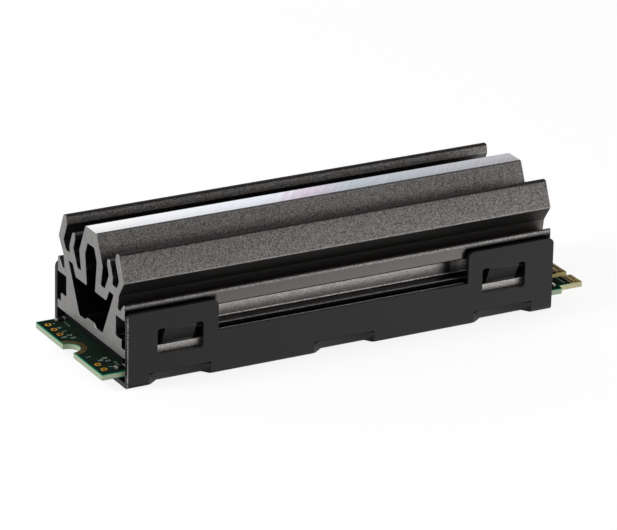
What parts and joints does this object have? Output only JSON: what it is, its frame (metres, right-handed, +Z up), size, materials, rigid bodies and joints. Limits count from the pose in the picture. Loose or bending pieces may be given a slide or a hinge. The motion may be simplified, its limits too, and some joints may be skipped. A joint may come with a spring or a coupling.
{
  "type": "heatsink solid state drive",
  "caption": "Solid state drive card with an extruded finned heatsink, held together by a folded snap tray, with a keyed edge connector at one end and a half-round screw notch at the other.",
  "frame": {"origin": "under the middle of the card, at the height of the tray's underside", "axes": "+X from the screw notch to the edge connector, +Y to the side away from the connector's key, +Z up through the heatsink"},
  "size_m": [0.08, 0.0238, 0.0202],
  "materials": {
    "anodised_aluminium": "dark anodised over a blasted grain, cut ends and crest bare",
    "coated_sheet": "satin black coating",
    "board_laminate": "dark green solder mask on glass laminate",
    "gold_plate": "gold plating",
    "masked_copper": "copper under a thin mask",
    "thermal_pad": "soft silicone, matt",
    "package_resin": "moulded resin",
    "inductor_body": "pressed ferrite",
    "crystal_can": "plated lid",
    "chip_ceramic": "fired ceramic with tinned ends"
  },
  "bodies": {
    "root": {"heatsink": "anodised_aluminium", "retaining_tray": "coated_sheet", "circuit_board": "board_laminate", "top_edge_contacts": "gold_plate", "bottom_edge_contacts": "gold_plate", "top_ground_ring": "masked_copper", "bottom_ground_ring": "masked_copper", "plated_holes": "gold_plate", "upper_thermal_pad": "thermal_pad", "lower_thermal_pad": "thermal_pad", "rear_flash_package": "package_resin", "front_flash_package": "package_resin", "memory_chip": "package_resin", "controller_chip": "package_resin", "power_chip": "package_resin", "firmware_chip": "package_resin", "power_inductors": "inductor_body", "clock_crystal": "crystal_can", "input_fuse": "chip_ceramic", "bulk_capacitors": "chip_ceramic", "bypass_capacitors": "chip_ceramic", "chip_resistors": "chip_ceramic"}
  },
  "joints": []
}
